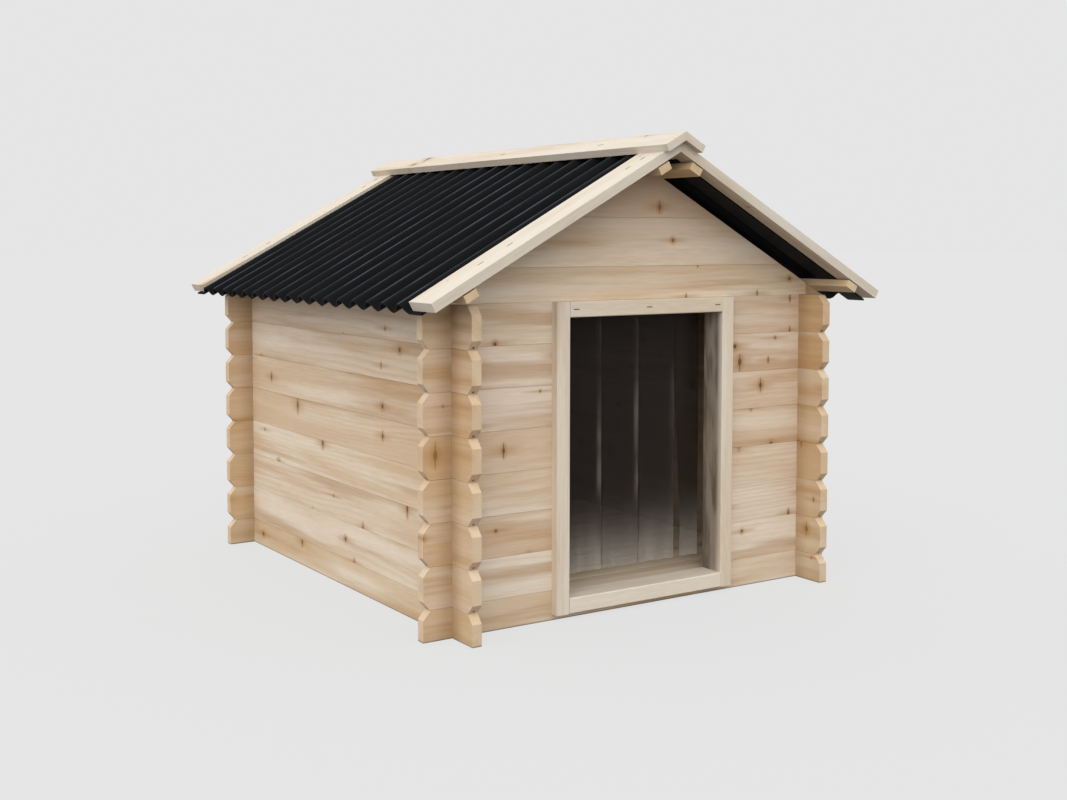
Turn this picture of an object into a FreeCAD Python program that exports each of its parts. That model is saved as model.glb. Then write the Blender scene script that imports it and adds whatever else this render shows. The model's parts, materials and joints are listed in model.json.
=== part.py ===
import FreeCAD, Part
import math
import os

# Dog house of notched boards that cross at the corners, with a corrugated roof and a strip curtain.
# Millimetres, +Z up, front towards -Y, origin on the ground in the middle of the house.

V = FreeCAD.Vector

# Walls
wall_width = 880.0             # between the outer faces of the side walls
wall_depth = 966.0             # between the outer faces of the front and back walls
board_thickness = 20.0
course_height = 79.0           # cover height of one wall board
first_course_height = 58.0     # the lowest board is ripped narrower
course_count = 8
gable_course_height = 95.0     # cover height of one gable board
first_gable_height = 65.0      # the lowest gable board is ripped narrower
side_log_end = 71.0            # side boards run this far past the front and back walls
front_log_end = 60.0           # front and back boards run this far past the side walls
end_cut_length = 15.0          # sloped cut on the corners of each board end, along the board
end_cut_height = 17.0          # the same cut, up the board
tongue_thickness = 6.0
tongue_height = 6.0
face_chamfer = 0.8             # breaks the long edges, so that each joint shows as a fine line
tongue_clearance = 0.3
notch_clearance = 0.25         # beside a board that passes through a corner notch

# Roof
roof_pitch = 28.5              # degrees
gable_rise = 24.0              # gable edge above the side walls, at their outer faces
batten_width = 28.0
batten_thickness = 15.0
ridge_batten_gap = 25.0        # from the ridge down the slope to the ridge batten
eave_batten_gap = 8.0          # from a side wall out to the eave batten
verge_overhang = 110.0         # verge boards stand out past the front and back walls
eave_overhang = 95.0           # verge boards end this far past the side walls
verge_width = 80.0
verge_thickness = 18.0
sheet_thickness = 3.0
wave_height = 20.0             # over the whole sheet, trough underside to crest
wave_pitch = 60.0              # rounded so that whole waves fill the roof
sheet_tuck = 42.0              # flat edge of the sheet under a verge board
sheet_drip = 8.0               # sheet past the lower end of the verge boards
sheet_ridge_gap = 14.0         # from the ridge down the slope to the sheet
ridge_plank_width = 46.0
ridge_plank_thickness = 15.0
ridge_overhang = 15.0          # ridge planks past the verge boards
nail_radius = 1.5
nail_sides = 12                # flat sides, enough for so small a round bar
nail_point_cover = 3.0         # wood left in a batten under the nail's point
nail_clearance = 0.2

# Door frame
door_width = 380.0             # clear between the jambs
frame_face = 30.0              # width of each member, seen from the front
frame_depth = 58.0
frame_projection = 18.0        # frame in front of the wall's face
frame_foot = 12.0              # wood left under the sill
frame_edge = 1.5               # bevel on the long edges of the frame

# Floor
bearer_width = 45.0
bearer_height = 20.0
bearer_count = 3
floor_board_width = 94.0       # rounded so that whole boards fill the floor
floor_board_thickness = 18.0
floor_board_gap = 2.0
floor_wall_gap = 2.0

# Strip curtain
full_strip_count = 3
strip_thickness = 2.0
strip_slit = 3.0               # between the wide strips
curtain_left_gap = 27.0        # from the left jamb to the first strip
last_strip_gap = 18.0          # before the narrow strip on the right
last_strip_width = 46.0
curtain_right_gap = 14.0
strip_foot_gap = 30.0          # between the strips and the sill
strip_curl = 5.0               # how far the foot of a wide strip bows
strip_facets = 6               # flat facets across the bow
swing_clearance = 0.3          # round the top edge of a swinging strip
header_drop = 1.0              # header below the underside of the door head
header_height = 26.0
clamp_height = 24.0
clamp_thickness = 15.0
clamp_lift = 2.0               # clamp batten above the underside of the door head
clamp_lap = 12.0               # clamp batten over each jamb

# Levels and places that follow from the sizes above
half_width = wall_width / 2
half_depth = wall_depth / 2
inner_half_width = half_width - board_thickness
inner_half_depth = half_depth - board_thickness
wall_top = first_course_height + (course_count - 1) * course_height
pitch = math.radians(roof_pitch)
slope = math.tan(pitch)
apex = wall_top + gable_rise + half_width * slope
gable_count = 1 + max(0, int((apex - wall_top - first_gable_height) // gable_course_height))
verge_front = half_depth + verge_overhang
verge_back = verge_front - verge_width
verge_base = batten_thickness + sheet_thickness
verge_crown = verge_base + verge_thickness
verge_end = (half_width + eave_overhang - verge_base * math.sin(pitch)) / math.cos(pitch)
eave_batten_start = (half_width + eave_batten_gap) / math.cos(pitch)
frame_half = door_width / 2 + frame_face
frame_front = -half_depth - frame_projection
frame_back = frame_front + frame_depth
sill_top = frame_foot + frame_face
head_base = wall_top - frame_face
strip_middle = frame_back + strip_thickness / 2
header_base = head_base - header_drop
strip_axis_z = header_base - strip_thickness / 2 - swing_clearance
strip_base = sill_top + strip_foot_gap
strip_width = (door_width - curtain_left_gap - (full_strip_count - 1) * strip_slit
               - last_strip_gap - last_strip_width - curtain_right_gap) / full_strip_count


def box(x0, x1, y0, y1, z0, z1):
    """A block between two corners."""
    return Part.makeBox(x1 - x0, y1 - y0, z1 - z0, V(x0, y0, z0))


def prism(points, travel):
    """A closed outline of straight lines, pushed along a vector."""
    return Part.Face(Part.makePolygon(points + points[:1])).extrude(travel)


def prism_along_x(outline, x0, x1):
    """An outline of (y, z) points, pushed from x0 to x1."""
    return prism([V(x0, y, z) for y, z in outline], V(x1 - x0, 0, 0))


def prism_along_y(outline, y0, y1):
    """An outline of (x, z) points, pushed from y0 to y1."""
    return prism([V(x, y0, z) for x, z in outline], V(0, y1 - y0, 0))


def mirrored(shape):
    """The same piece for the other side of the house."""
    return shape.mirror(V(0, 0, 0), V(1, 0, 0))


def save(name, *solids):
    """Writes one piece, or a group of like pieces, as a node."""
    for solid in solids:
        assert solid.isValid() and len(solid.Solids) == 1, name
    shape = solids[0] if len(solids) == 1 else Part.makeCompound(list(solids))
    shape.exportStep("parts/" + name + ".step")


# Wall boards

def course_base(course):
    """Height of the underside of a course."""
    return first_course_height + (course - 1) * course_height if course else 0.0


def board_outline(middle, base, top, groove, tongue):
    """Section of a board as (across, z) points: bevelled edges, a groove below and a tongue above."""
    half = board_thickness / 2
    bevel = face_chamfer
    tongue_half = tongue_thickness / 2
    groove_half = tongue_half + tongue_clearance
    groove_top = base + tongue_height + tongue_clearance
    points = [(-half, base + bevel), (-half + bevel, base)]
    if groove:
        points += [(-groove_half, base), (-groove_half, groove_top),
                   (groove_half, groove_top), (groove_half, base)]
    points += [(half - bevel, base), (half, base + bevel), (half, top - bevel), (half - bevel, top)]
    if tongue:
        crown = top + tongue_height
        points += [(tongue_half, top), (tongue_half, crown), (-tongue_half, crown), (-tongue_half, top)]
    points += [(-half + bevel, top), (-half, top - bevel)]
    return [(middle + across, z) for across, z in points]


def end_cuts(reach, base, top, lower_cut):
    """Outlines (along, z) that slope the corners off one board end at +reach."""
    over = end_cut_length
    run = end_cut_length * (end_cut_height + over) / end_cut_height
    cuts = [[(reach, top - end_cut_height), (reach + over, top - end_cut_height),
             (reach + over, top + over), (reach - run, top + over)]]
    if lower_cut:
        cuts.append([(reach, base + end_cut_height), (reach + over, base + end_cut_height),
                     (reach + over, base - over), (reach - run, base - over)])
    return cuts


def cross_board(course, y_middle):
    """A front or back wall board: it runs along X and takes the side boards in its upper half."""
    base = course_base(course)
    top = course_base(course + 1)
    reach = half_width + front_log_end
    outline = board_outline(y_middle, base, top, course > 0, True)
    board = prism_along_x(outline, -reach, reach)
    waste = []
    for side in (-1, 1):
        crossing = side * (half_width - board_thickness / 2)
        half_notch = board_thickness / 2 + notch_clearance
        waste.append(box(crossing - half_notch, crossing + half_notch,
                         y_middle - board_thickness, y_middle + board_thickness,
                         (base + top) / 2, top + course_height))
        for cut in end_cuts(reach, base, top, course > 0):
            waste.append(prism_along_y([(side * along, z) for along, z in cut],
                                       y_middle - board_thickness, y_middle + board_thickness))
    return board.cut(waste)


def side_board(course):
    """A right-hand wall board: it runs along Y and drops over the front and back boards."""
    base = course_base(course)
    top = course_base(course + 1)
    middle = half_width - board_thickness / 2
    reach = half_depth + side_log_end
    last = course == course_count - 1
    outline = board_outline(middle, base, top, course > 0, not last)
    board = prism([V(x, -reach, z) for x, z in outline], V(0, 2 * reach, 0))
    waste = []
    for end in (-1, 1):
        crossing = end * (half_depth - board_thickness / 2)
        half_notch = board_thickness / 2 + notch_clearance
        near = crossing - half_notch
        far = crossing + half_notch
        waste.append(box(0, wall_width, near, far, base - course_height, (base + top) / 2))
        waste.append(box(0, wall_width, near, far, top, top + course_height))
        for cut in end_cuts(reach, base, top, course > 0):
            waste.append(prism_along_x([(end * along, z) for along, z in cut], 0, wall_width))
    return board.cut(waste)


def gable_base(index):
    """Height of the underside of a gable board."""
    return wall_top + first_gable_height + (index - 1) * gable_course_height if index else wall_top


def gable_board(index, y_middle):
    """A gable board, sawn to the slope of the roof. The topmost one takes what is left to the apex."""
    topmost = index == gable_count - 1
    base = gable_base(index)
    top = apex if topmost else gable_base(index + 1)
    spread = (apex - base + tongue_height) / slope
    board = prism_along_x(board_outline(y_middle, base, top, True, not topmost), -spread, spread)
    gable = [(-spread, base - tongue_height), (spread, base - tongue_height), (0, apex)]
    return board.common(prism_along_y(gable, y_middle - board_thickness, y_middle + board_thickness))


def build_walls():
    """Side walls, back wall and the front wall with its doorway."""
    back_middle = half_depth - board_thickness / 2
    doorway = box(-frame_half, frame_half, -wall_depth, 0, frame_foot, wall_top + tongue_height)
    stubs = []
    for course in range(course_count):
        board = side_board(course)
        save("right_wall_log_%d" % (course + 1), board)
        save("left_wall_log_%d" % (course + 1), mirrored(board))
        save("back_wall_log_%d" % (course + 1), cross_board(course, back_middle))
        front = cross_board(course, -back_middle).cut(doorway)
        if course == 0:
            save("front_bottom_log", front)
        else:
            stubs.append(sorted(front.Solids, key=lambda solid: solid.CenterOfMass.x))
    save("front_left_stub_logs", *[pair[0] for pair in stubs])
    save("front_right_stub_logs", *[pair[1] for pair in stubs])
    for index in range(gable_count):
        save("front_gable_log_%d" % (index + 1), gable_board(index, -back_middle))
        save("back_gable_log_%d" % (index + 1), gable_board(index, back_middle))


# Roof, drawn flat with u down the right-hand slope and v up from the gable edge

def on_right_slope(shape):
    """Tilts a flat-drawn roof piece onto the right-hand slope."""
    placed = shape.copy()
    placed.rotate(V(0, 0, 0), V(0, 1, 0), roof_pitch)
    placed.translate(V(0, 0, apex))
    return placed


def plumb_topped(u_end, v0, v1, y0, y1):
    """A roof board with a plumb cut at the ridge and a square lower end."""
    outline = [(-v0 * slope, v0), (u_end, v0), (u_end, v1), (-v1 * slope, v1)]
    return prism_along_y(outline, y0, y1)


def batten(u_start):
    """A batten that lies on the gable edges and carries the sheet."""
    return box(u_start, u_start + batten_width, -verge_front, verge_front, 0, batten_thickness)


def wave_edge(offset, y_start, pitch_y, count, v_middle):
    """Edges along one skin of the waves, trough to trough, as arcs that meet smoothly at mid height."""
    rise = (wave_height - sheet_thickness) / 2
    chord = pitch_y / 2
    radius = (chord ** 2 / 4 + rise ** 2) / (2 * rise)
    swing = math.asin(chord / (2 * radius))

    def point(centre_y, up, angle):
        """A point of the skin on the crest (up = 1) or trough (up = -1) arc round centre_y."""
        reach = radius + up * offset
        centre_v = v_middle + up * (rise - radius)
        return V(0, centre_y + reach * math.sin(angle), centre_v + up * reach * math.cos(angle))

    edges = []
    for index in range(2 * count + 1):
        up = 1 if index % 2 else -1
        centre_y = y_start + index * chord
        first = 0.0 if index == 0 else -swing
        last = 0.0 if index == 2 * count else swing
        ends = [point(centre_y, up, angle) for angle in (first, (first + last) / 2, last)]
        edges.append(Part.Arc(*ends).toShape())
    return edges


def roof_sheet():
    """A corrugated sheet with flat edges that are held under the verge boards."""
    span = 2 * verge_back
    count = max(1, round(span / wave_pitch))
    edge_y = verge_back + sheet_tuck
    v_low = batten_thickness
    v_middle = v_low + wave_height / 2
    skin = sheet_thickness / 2
    under = wave_edge(-skin, -verge_back, span / count, count, v_middle)
    over = wave_edge(skin, -verge_back, span / count, count, v_middle)
    corners = [V(0, verge_back, v_low), V(0, edge_y, v_low),
               V(0, edge_y, verge_base), V(0, verge_back, verge_base)]
    right_flat = [Part.makeLine(a, b) for a, b in zip(corners, corners[1:])]
    corners = [V(0, -y, v) for _, y, v in corners]
    left_flat = [Part.makeLine(a, b) for a, b in zip(corners, corners[1:])]
    outline = Part.Wire(Part.__sortEdges__(under + right_flat + over + left_flat))
    sheet = Part.Face(outline).extrude(V(verge_end + sheet_drip - sheet_ridge_gap, 0, 0))
    sheet.translate(V(sheet_ridge_gap, 0, 0))
    return sheet


def nail(u, y, clearance):
    """A headless nail, flush with the verge board, through it and the sheet's edge into a batten."""
    radius = nail_radius + clearance
    point_v = nail_point_cover - clearance
    turns = [2 * math.pi * side / nail_sides for side in range(nail_sides)]
    outline = [V(u + radius * math.cos(turn), y + radius * math.sin(turn), point_v) for turn in turns]
    return prism(outline, V(0, 0, verge_crown - point_v))


def build_roof():
    """Battens, sheets, verge boards, nails and ridge planks."""
    batten_starts = {"ridge": ridge_batten_gap, "eave": eave_batten_start}
    nail_y = verge_back + sheet_tuck / 2
    nail_places = [(u + batten_width / 2, y) for u in batten_starts.values() for y in (-nail_y, nail_y)]
    holes = [nail(u, y, nail_clearance) for u, y in nail_places]
    verge = plumb_topped(verge_end, verge_base, verge_crown, verge_back, verge_front).cut(holes)
    rear = on_right_slope(verge)
    front = rear.mirror(V(0, 0, 0), V(0, 1, 0))
    ridge_run = ridge_plank_width - verge_crown * slope
    ridge_reach = verge_front + ridge_overhang
    ridge_crown = verge_crown + ridge_plank_thickness
    plank = plumb_topped(ridge_run, verge_crown, ridge_crown, -ridge_reach, ridge_reach)
    pieces = {"roof_sheet": on_right_slope(roof_sheet().cut(holes)), "ridge_plank": on_right_slope(plank)}
    for place, u_start in batten_starts.items():
        pieces[place + "_batten"] = on_right_slope(batten(u_start).cut(holes))
    for name, piece in pieces.items():
        save("right_" + name, piece)
        save("left_" + name, mirrored(piece))
    for name, piece in {"front": front, "rear": rear}.items():
        save(name + "_right_verge_board", piece)
        save(name + "_left_verge_board", mirrored(piece))
    nails = [on_right_slope(nail(u, y, 0)) for u, y in nail_places]
    save("verge_nails", *nails, *[mirrored(one) for one in nails])


# Door frame

def bevelled(low, high, base, top):
    """A rectangle as points, with its corners bevelled."""
    bevel = frame_edge
    return [(low + bevel, base), (high - bevel, base), (high, base + bevel), (high, top - bevel),
            (high - bevel, top), (low + bevel, top), (low, top - bevel), (low, base + bevel)]


def build_door_frame():
    """Two full-height jambs, with the head and the sill between them."""
    outline = bevelled(door_width / 2, frame_half, frame_front, frame_back)
    jamb = prism([V(x, y, frame_foot) for x, y in outline], V(0, 0, wall_top - frame_foot))
    save("right_door_jamb", jamb)
    save("left_door_jamb", mirrored(jamb))
    for name, base in {"door_head": head_base, "door_sill": frame_foot}.items():
        outline = bevelled(frame_front, frame_back, base, base + frame_face)
        save(name, prism_along_x(outline, -door_width / 2, door_width / 2))


# Floor

def build_floor():
    """Boards across the house on bearers that stand on the ground."""
    frame_room = box(-frame_half - floor_wall_gap, frame_half + floor_wall_gap, -wall_depth,
                     frame_back + floor_wall_gap, frame_foot, wall_top)
    outer = inner_half_width - floor_wall_gap - bearer_width / 2
    spacing = 2 * outer / max(1, bearer_count - 1)
    for index in range(bearer_count):
        middle = index * spacing - outer
        bearer = box(middle - bearer_width / 2, middle + bearer_width / 2,
                     -inner_half_depth, inner_half_depth, 0, bearer_height)
        save("floor_bearer_%d" % (index + 1), bearer.cut(frame_room))
    reach = inner_half_depth - floor_wall_gap
    count = max(1, round(2 * reach / (floor_board_width + floor_board_gap)))
    step = (2 * reach + floor_board_gap) / count
    boards = []
    for index in range(count):
        near = index * step - reach
        board = box(floor_wall_gap - inner_half_width, inner_half_width - floor_wall_gap,
                    near, near + step - floor_board_gap,
                    bearer_height, bearer_height + floor_board_thickness)
        boards.append(board.cut(frame_room))
    save("floor_boards", *boards)


# Strip curtain

def strip(left, right, curl):
    """A hanging strip: flat and rounded along its top edge, bowed at its foot."""
    half = strip_thickness / 2
    flat_z = strip_axis_z - strip_thickness
    round_off = half * math.tan(math.pi / 8)
    top = [(-half, flat_z), (half, flat_z),
           (half, strip_axis_z + round_off), (round_off, strip_axis_z + half),
           (-round_off, strip_axis_z + half), (-half, strip_axis_z + round_off)]
    edge = prism_along_x([(strip_middle + y, z) for y, z in top], left, right)

    def section(z, bow):
        """The strip's outline at one height, bowed towards the inside of the house."""
        shares = [step / strip_facets for step in range(strip_facets + 1)]
        front = [V(left + share * (right - left), strip_middle - half + 4 * bow * share * (1 - share), z)
                 for share in shares]
        back = [point + V(0, strip_thickness, 0) for point in reversed(front)]
        return Part.makePolygon(front + back + front[:1])

    sheet = Part.makeLoft([section(flat_z, 0), section(strip_base, curl)], True, True)
    return edge.fuse(sheet).removeSplitter()


def build_curtain():
    """Header held by a clamp batten behind the door head, and the strips that swing below it."""
    left = curtain_left_gap - door_width / 2
    right = door_width / 2 - curtain_right_gap
    save("curtain_header", box(left, right, frame_back, frame_back + strip_thickness,
                               header_base, header_base + header_height))
    clamp_base = head_base + clamp_lift
    clamp_reach = door_width / 2 + clamp_lap
    save("curtain_clamp_batten", box(-clamp_reach, clamp_reach, frame_back + strip_thickness,
                                     frame_back + strip_thickness + clamp_thickness,
                                     clamp_base, clamp_base + clamp_height))
    for index in range(full_strip_count):
        near = left + index * (strip_width + strip_slit)
        save("curtain_strip_%d" % (index + 1), strip(near, near + strip_width, strip_curl))
    narrow_curl = strip_curl * last_strip_width / strip_width
    save("curtain_strip_%d" % (full_strip_count + 1), strip(right - last_strip_width, right, narrow_curl))


os.makedirs("parts", exist_ok=True)
build_walls()
build_roof()
build_door_frame()
build_floor()
build_curtain()
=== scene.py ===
"""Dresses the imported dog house: raw pine boards, black corrugated sheets and a clear strip curtain."""

import json
import logging
import math
from dataclasses import dataclass
from enum import Enum
from typing import Any, Iterable

import bpy
from mathutils import Matrix, Vector


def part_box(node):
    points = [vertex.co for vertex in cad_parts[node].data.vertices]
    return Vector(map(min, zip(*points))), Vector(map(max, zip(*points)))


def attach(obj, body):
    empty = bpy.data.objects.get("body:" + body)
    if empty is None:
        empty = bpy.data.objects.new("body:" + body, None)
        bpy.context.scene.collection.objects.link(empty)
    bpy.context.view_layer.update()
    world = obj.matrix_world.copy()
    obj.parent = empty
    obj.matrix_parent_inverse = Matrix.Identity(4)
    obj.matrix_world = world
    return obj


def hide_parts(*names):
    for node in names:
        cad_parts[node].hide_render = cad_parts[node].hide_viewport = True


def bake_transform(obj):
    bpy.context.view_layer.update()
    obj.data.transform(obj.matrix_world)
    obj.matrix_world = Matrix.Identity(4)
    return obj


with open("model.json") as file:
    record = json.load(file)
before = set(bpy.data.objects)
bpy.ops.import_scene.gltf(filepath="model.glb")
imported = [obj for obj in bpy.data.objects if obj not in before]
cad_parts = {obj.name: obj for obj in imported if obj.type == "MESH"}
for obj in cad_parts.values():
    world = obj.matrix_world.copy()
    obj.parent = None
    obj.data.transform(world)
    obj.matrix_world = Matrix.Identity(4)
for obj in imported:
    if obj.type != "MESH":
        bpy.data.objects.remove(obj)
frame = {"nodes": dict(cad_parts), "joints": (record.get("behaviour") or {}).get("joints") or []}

LOG = logging.getLogger("dog_house")
IMAGE_WIDTH = 1067.0
IMAGE_HEIGHT = 800.0
# Sizes of board cells: one tells only the two halves of the house apart, one tells single pieces apart.
WHOLE_HOUSE = 4.0
PIECE_SPACING = 0.2
# How far past a face a tone takes to fade.
TONE_EDGE = 0.001
SMOOTH_ANGLE = math.radians(40)

Colour = tuple[float, float, float, float]


def paint(code: str) -> Colour:
    """Turns a colour as it is seen on a screen into light values.

    Args:
        code: Six hexadecimal digits, red first.

    Returns:
        Red, green, blue and full opacity.
    """
    parts = [int(code[place:place + 2], 16) / 255 for place in (0, 2, 4)]
    red, green, blue = [part / 12.92 if part <= 0.04045 else ((part + 0.055) / 1.055) ** 2.4
                        for part in parts]
    return red, green, blue, 1.0


class Graph:
    """Writes shader nodes into a tree, one call for each node."""

    def __init__(self, tree: bpy.types.NodeTree) -> None:
        """Keeps the tree that the nodes go into."""
        self.tree = tree

    def add(self, kind: str, inputs: dict[Any, Any] | None = None, **settings: Any) -> bpy.types.Node:
        """Adds a node.

        Args:
            kind: The node's type name, without its common beginning.
            inputs: Values or sockets for its inputs, by name or number.
            **settings: Options of the node itself.

        Returns:
            The new node.
        """
        node = self.tree.nodes.new(kind if kind.startswith("Node") else "ShaderNode" + kind)
        for name, value in settings.items():
            setattr(node, name, value)
        for key, value in (inputs or {}).items():
            self.feed(node.inputs[key], value)
        return node

    def feed(self, socket: bpy.types.NodeSocket, value: Any) -> None:
        """Links a socket into an input, or sets the input to a plain value."""
        if isinstance(value, bpy.types.NodeSocket):
            self.tree.links.new(value, socket)
        else:
            socket.default_value = value

    def math(self, operation: str, *terms: Any) -> bpy.types.NodeSocket:
        """Works out one value from others, by a Math node."""
        return self.add("Math", dict(enumerate(terms)), operation=operation).outputs[0]

    def product(self, first: Any, *others: Any) -> bpy.types.NodeSocket:
        """Multiplies values, by one Math node for each after the first."""
        for other in others:
            first = self.math("MULTIPLY", first, other)
        return first

    def length(self, across: bpy.types.NodeSocket, up: bpy.types.NodeSocket) -> bpy.types.NodeSocket:
        """Gives the length of a step whose two parts stand square to each other."""
        return self.math("SQRT", self.math("ADD", self.product(across, across), self.product(up, up)))

    def vector(self, operation: str, *terms: Any) -> bpy.types.NodeSocket:
        """Works out one vector from others, by a Vector Math node."""
        return self.add("VectorMath", dict(enumerate(terms)), operation=operation).outputs["Vector"]

    def split(self, vector: bpy.types.NodeSocket) -> list[bpy.types.NodeSocket]:
        """Gives a vector's three parts."""
        return list(self.add("SeparateXYZ", {0: vector}).outputs)

    def join(self, x: Any, y: Any, z: Any) -> bpy.types.NodeSocket:
        """Makes a vector of three parts."""
        return self.add("CombineXYZ", {0: x, 1: y, 2: z}).outputs[0]

    def fade(self, value: Any, low: float, high: float, to_low: float = 0.0,
             to_high: float = 1.0) -> bpy.types.NodeSocket:
        """Eases a value from one range into another.

        Args:
            value: The value to ease.
            low: Where the change starts.
            high: Where the change ends.
            to_low: The result at the start.
            to_high: The result at the end.

        Returns:
            The eased value.
        """
        inputs = {0: value, 1: low, 2: high, 3: to_low, 4: to_high}
        return self.add("MapRange", inputs, interpolation_type="SMOOTHSTEP").outputs[0]

    def mix(self, share: Any, first: Any, second: Any, blend: str = "MIX") -> bpy.types.NodeSocket:
        """Mixes two colours by a share from 0 to 1."""
        inputs = {0: share, 6: first, 7: second}
        return self.add("Mix", inputs, data_type="RGBA", blend_type=blend).outputs[2]

    def noise(self, point: bpy.types.NodeSocket, stretch: tuple[float, float, float],
              detail: float) -> bpy.types.NodeSocket:
        """Gives cloudy values from 0 to 1 that are drawn out along the point's axes."""
        drawn = self.vector("MULTIPLY", point, stretch)
        return self.add("TexNoise", {"Vector": drawn, "Scale": 1.0, "Detail": detail}).outputs[0]


def new_material(name: str) -> tuple[bpy.types.Material, Graph, bpy.types.Node]:
    """Starts a material with an empty shader.

    Args:
        name: The material's name.

    Returns:
        The material, a writer for its nodes, and its Principled shader.
    """
    material = bpy.data.materials.new(name)
    material.use_nodes = True
    graph = Graph(material.node_tree)
    return material, graph, material.node_tree.nodes["Principled BSDF"]


class Grain(Enum):
    """The way that a board's grain runs."""

    UPRIGHT_FACE_ALONG_X = "boards of the front and back"
    UPRIGHT_FACE_ALONG_Y = "boards of the sides"
    STANDING = "jambs"
    LYING_ALONG_X = "floor boards"
    LYING_ALONG_Y = "bearers"
    DOWN_RIGHT_SLOPE = "right verge boards"
    DOWN_LEFT_SLOPE = "left verge boards"

    def turn(self, pitch: float) -> Matrix:
        """Gives the turn into board space: along the grain, across the face, through the board.

        Args:
            pitch: The roof's slope, in radians.

        Returns:
            A turn with one board axis to a row.
        """
        run, fall = math.cos(pitch), math.sin(pitch)
        return Matrix({
            Grain.UPRIGHT_FACE_ALONG_X: ((1, 0, 0), (0, 0, 1), (0, -1, 0)),
            Grain.UPRIGHT_FACE_ALONG_Y: ((0, 1, 0), (0, 0, 1), (1, 0, 0)),
            Grain.STANDING: ((0, 0, 1), (1, 0, 0), (0, 1, 0)),
            Grain.LYING_ALONG_X: ((1, 0, 0), (0, 1, 0), (0, 0, 1)),
            Grain.LYING_ALONG_Y: ((0, 1, 0), (-1, 0, 0), (0, 0, 1)),
            Grain.DOWN_RIGHT_SLOPE: ((run, 0, -fall), (0, 1, 0), (fall, 0, run)),
            Grain.DOWN_LEFT_SLOPE: ((-run, 0, -fall), (0, -1, 0), (-fall, 0, run)),
        }[self])


@dataclass(frozen=True)
class BoardCell:
    """The room that one board takes, so that each board gets its own figure.

    A size of 0 means that boards aren't told apart along that axis.
    """

    size: tuple[float, float, float]
    start: tuple[float, float, float] = (0.0, 0.0, 0.0)

    def scale(self) -> Vector:
        """Gives boards to the metre along each axis."""
        return Vector([1 / size if size else 0.0 for size in self.size])

    def shift(self) -> Vector:
        """Gives the offset that puts the start of a board on a whole number."""
        return Vector([-start / size if size else 0.0 for size, start in zip(self.size, self.start)])


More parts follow.
